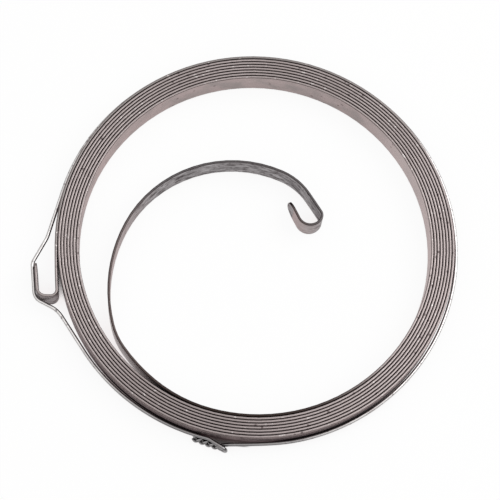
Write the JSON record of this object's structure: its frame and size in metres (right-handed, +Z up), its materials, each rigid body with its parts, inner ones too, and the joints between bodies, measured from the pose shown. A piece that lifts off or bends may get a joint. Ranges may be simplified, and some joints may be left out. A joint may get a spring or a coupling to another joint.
{
  "type": "recoil starter spring",
  "caption": "Flat coil spring of strip steel for a recoil starter, hooked at both ends and held wound by a twisted retaining wire.",
  "frame": {"origin": "on the axis of the wound pack, in the plane of its lower edge, on which the spring lies", "axes": "+Z up along the axis of the pack; the outer hook is on the -X side with its slot open towards +Y"},
  "size_m": [0.0809, 0.0781, 0.0056],
  "materials": {
    "spring_steel": "rolled, satin, bright slit edges",
    "bright_wire": "drawn, bright"
  },
  "bodies": {
    "root": {"spring_strip": "spring_steel", "retaining_wire": "bright_wire"}
  },
  "joints": []
}
